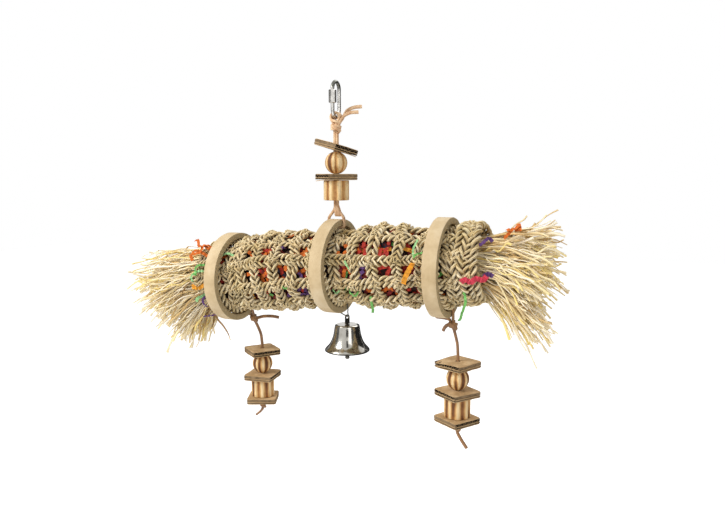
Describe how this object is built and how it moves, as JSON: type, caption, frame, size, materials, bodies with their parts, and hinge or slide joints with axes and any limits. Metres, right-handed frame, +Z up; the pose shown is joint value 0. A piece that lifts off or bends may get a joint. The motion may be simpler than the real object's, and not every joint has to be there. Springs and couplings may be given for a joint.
{
  "type": "hanging bird toy",
  "caption": "Stuffed seagrass tube with card rings and fibre ends, hung by a leather lace from a quick link, with a bell and dangles of card and wood.",
  "frame": {"origin": "inside top of the quick link, where the toy hangs on a hook or bar", "axes": "+Z up, +X along the tube towards its higher end, -Y towards the quick link's sleeve"},
  "size_m": [0.4329, 0.0972, 0.3421],
  "materials": {
    "steel": "bright zinc plate",
    "nickel": "polished nickel plate",
    "leather": "natural vegetable tan",
    "kraft": "matt kraft card tube",
    "board": "matt corrugated card",
    "wood": "bare wood with burnt grooves",
    "seagrass": "dry twisted grass cord",
    "paper": "matt crinkled paper shreds in several colours",
    "fibre": "dry pale palm fibre"
  },
  "bodies": {
    "quick_link": {"quick_link_body": "steel"},
    "sleeve": {"quick_link_sleeve": "steel"},
    "loop": {"hanger_loop_front": "leather", "hanger_loop_back": "leather", "hanger_tail_upper": "leather", "hanger_tail_lower": "leather"},
    "knot": {"hanger_knot": "leather"},
    "strand": {"hanger_strand_left": "leather", "hanger_strand_right": "leather"},
    "top_square": {"hanger_square_top": "board"},
    "bead": {"hanger_bead": "wood"},
    "lower_square": {"hanger_square_lower": "board"},
    "cylinder": {"hanger_cylinder": "wood"},
    "tube": {"hanger_yoke": "leather", "ring_left": "kraft", "ring_middle": "kraft", "ring_right": "kraft", "seagrass_tube": "seagrass", "paper_fill_left": "paper", "paper_fill_right": "paper", "fibre_tuft_left": "fibre", "fibre_tuft_right": "fibre", "bell_wire": "steel", "left_loop": "leather", "right_loop": "leather"},
    "bell": {"bell_strap": "nickel", "bell_shell": "nickel"},
    "clapper": {"bell_clapper": "steel"},
    "left_head": {"left_knot": "leather", "left_tail": "leather"},
    "left_drop": {"left_lace": "leather", "left_end_knot": "leather", "left_end_tail": "leather"},
    "left_top": {"left_square_top": "board"},
    "left_ball": {"left_bead": "wood"},
    "left_middle": {"left_square_middle": "board"},
    "left_drum": {"left_cylinder": "wood"},
    "left_bottom": {"left_square_bottom": "board"},
    "right_head": {"right_knot": "leather", "right_tail": "leather"},
    "right_drop": {"right_lace": "leather", "right_end_knot": "leather", "right_end_tail": "leather"},
    "right_top": {"right_square_top": "board"},
    "right_ball": {"right_bead": "wood"},
    "right_middle": {"right_square_middle": "board"},
    "right_drum": {"right_cylinder": "wood"},
    "right_bottom": {"right_square_bottom": "board"}
  },
  "joints": [
    {"name": "sleeve_slide", "type": "slide", "parent": "quick_link", "child": "sleeve", "axis": [0, 0, -1], "range_m": [0, 0.0058]},
    {"name": "hanger_swing", "type": "hinge", "parent": "quick_link", "child": "loop", "pos_m": [0, 0, -0.0304], "axis": [0, 1, 0], "range_deg": [-25, 25]},
    {"name": "lace_twist", "type": "hinge", "parent": "loop", "child": "knot", "pos_m": [0, 0, -0.03575], "axis": [0, 0, 1], "range_deg": [-180, 180]},
    {"name": "lace_bend", "type": "hinge", "parent": "knot", "child": "strand", "pos_m": [0, 0, -0.04475], "axis": [1, 0, 0], "range_deg": [-25, 25]},
    {"name": "top_square_spin", "type": "hinge", "parent": "strand", "child": "top_square", "pos_m": [0, 0, -0.05771], "axis": [0, 0, 1], "continuous": true},
    {"name": "bead_spin", "type": "hinge", "parent": "strand", "child": "bead", "pos_m": [0, 0, -0.07184], "axis": [0, 0, 1], "continuous": true},
    {"name": "lower_square_spin", "type": "hinge", "parent": "strand", "child": "lower_square", "pos_m": [0, 0, -0.08493], "axis": [0, 0, 1], "continuous": true},
    {"name": "cylinder_spin", "type": "hinge", "parent": "strand", "child": "cylinder", "pos_m": [0, 0, -0.09728], "axis": [0, 0, 1], "continuous": true},
    {"name": "tube_rock", "type": "hinge", "parent": "strand", "child": "tube", "pos_m": [0, 0, -0.11202], "axis": [0, 1, 0], "range_deg": [-15, 15]},
    {"name": "bell_swing", "type": "hinge", "parent": "tube", "child": "bell", "pos_m": [0.0058, 0.01071, -0.2191], "axis": [1, 0, 0], "range_deg": [-25, 25]},
    {"name": "clapper_swing", "type": "hinge", "parent": "bell", "child": "clapper", "pos_m": [0.0058, 0.01071, -0.23065], "axis": [0.9135, -0.4067, 0], "range_deg": [-30, 30]},
    {"name": "left_swing_across", "type": "hinge", "parent": "tube", "child": "left_head", "pos_m": [-0.10757, 0.02095, -0.23264], "axis": [1, 0, 0], "range_deg": [-25, 25]},
    {"name": "left_swing_along", "type": "hinge", "parent": "left_head", "child": "left_drop", "pos_m": [-0.10757, 0.02095, -0.23264], "axis": [0, 1, 0], "range_deg": [-25, 25]},
    {"name": "left_top_spin", "type": "hinge", "parent": "left_drop", "child": "left_top", "pos_m": [-0.09867, 0.02095, -0.26684], "axis": [0, 0, 1], "continuous": true},
    {"name": "left_ball_spin", "type": "hinge", "parent": "left_drop", "child": "left_ball", "pos_m": [-0.09867, 0.02095, -0.28018], "axis": [0, 0, 1], "continuous": true},
    {"name": "left_middle_spin", "type": "hinge", "parent": "left_drop", "child": "left_middle", "pos_m": [-0.09867, 0.02095, -0.29352], "axis": [0, 0, 1], "continuous": true},
    {"name": "left_drum_spin", "type": "hinge", "parent": "left_drop", "child": "left_drum", "pos_m": [-0.09867, 0.02095, -0.30587], "axis": [0, 0, 1], "continuous": true},
    {"name": "left_bottom_spin", "type": "hinge", "parent": "left_drop", "child": "left_bottom", "pos_m": [-0.09867, 0.02095, -0.31822], "axis": [0, 0, 1], "continuous": true},
    {"name": "right_swing_across", "type": "hinge", "parent": "tube", "child": "right_head", "pos_m": [0.11441, 0.00269, -0.21565], "axis": [1, 0, 0], "range_deg": [-25, 25]},
    {"name": "right_swing_along", "type": "hinge", "parent": "right_head", "child": "right_drop", "pos_m": [0.11441, 0.00269, -0.21565], "axis": [0, 1, 0], "range_deg": [-25, 25]},
    {"name": "right_top_spin", "type": "hinge", "parent": "right_drop", "child": "right_top", "pos_m": [0.11941, 0.00269, -0.25115], "axis": [0, 0, 1], "continuous": true},
    {"name": "right_ball_spin", "type": "hinge", "parent": "right_drop", "child": "right_ball", "pos_m": [0.11941, 0.00269, -0.26449], "axis": [0, 0, 1], "continuous": true},
    {"name": "right_middle_spin", "type": "hinge", "parent": "right_drop", "child": "right_middle", "pos_m": [0.11941, 0.00269, -0.27783], "axis": [0, 0, 1], "continuous": true},
    {"name": "right_drum_spin", "type": "hinge", "parent": "right_drop", "child": "right_drum", "pos_m": [0.11941, 0.00269, -0.29018], "axis": [0, 0, 1], "continuous": true},
    {"name": "right_bottom_spin", "type": "hinge", "parent": "right_drop", "child": "right_bottom", "pos_m": [0.11941, 0.00269, -0.30253], "axis": [0, 0, 1], "continuous": true}
  ]
}
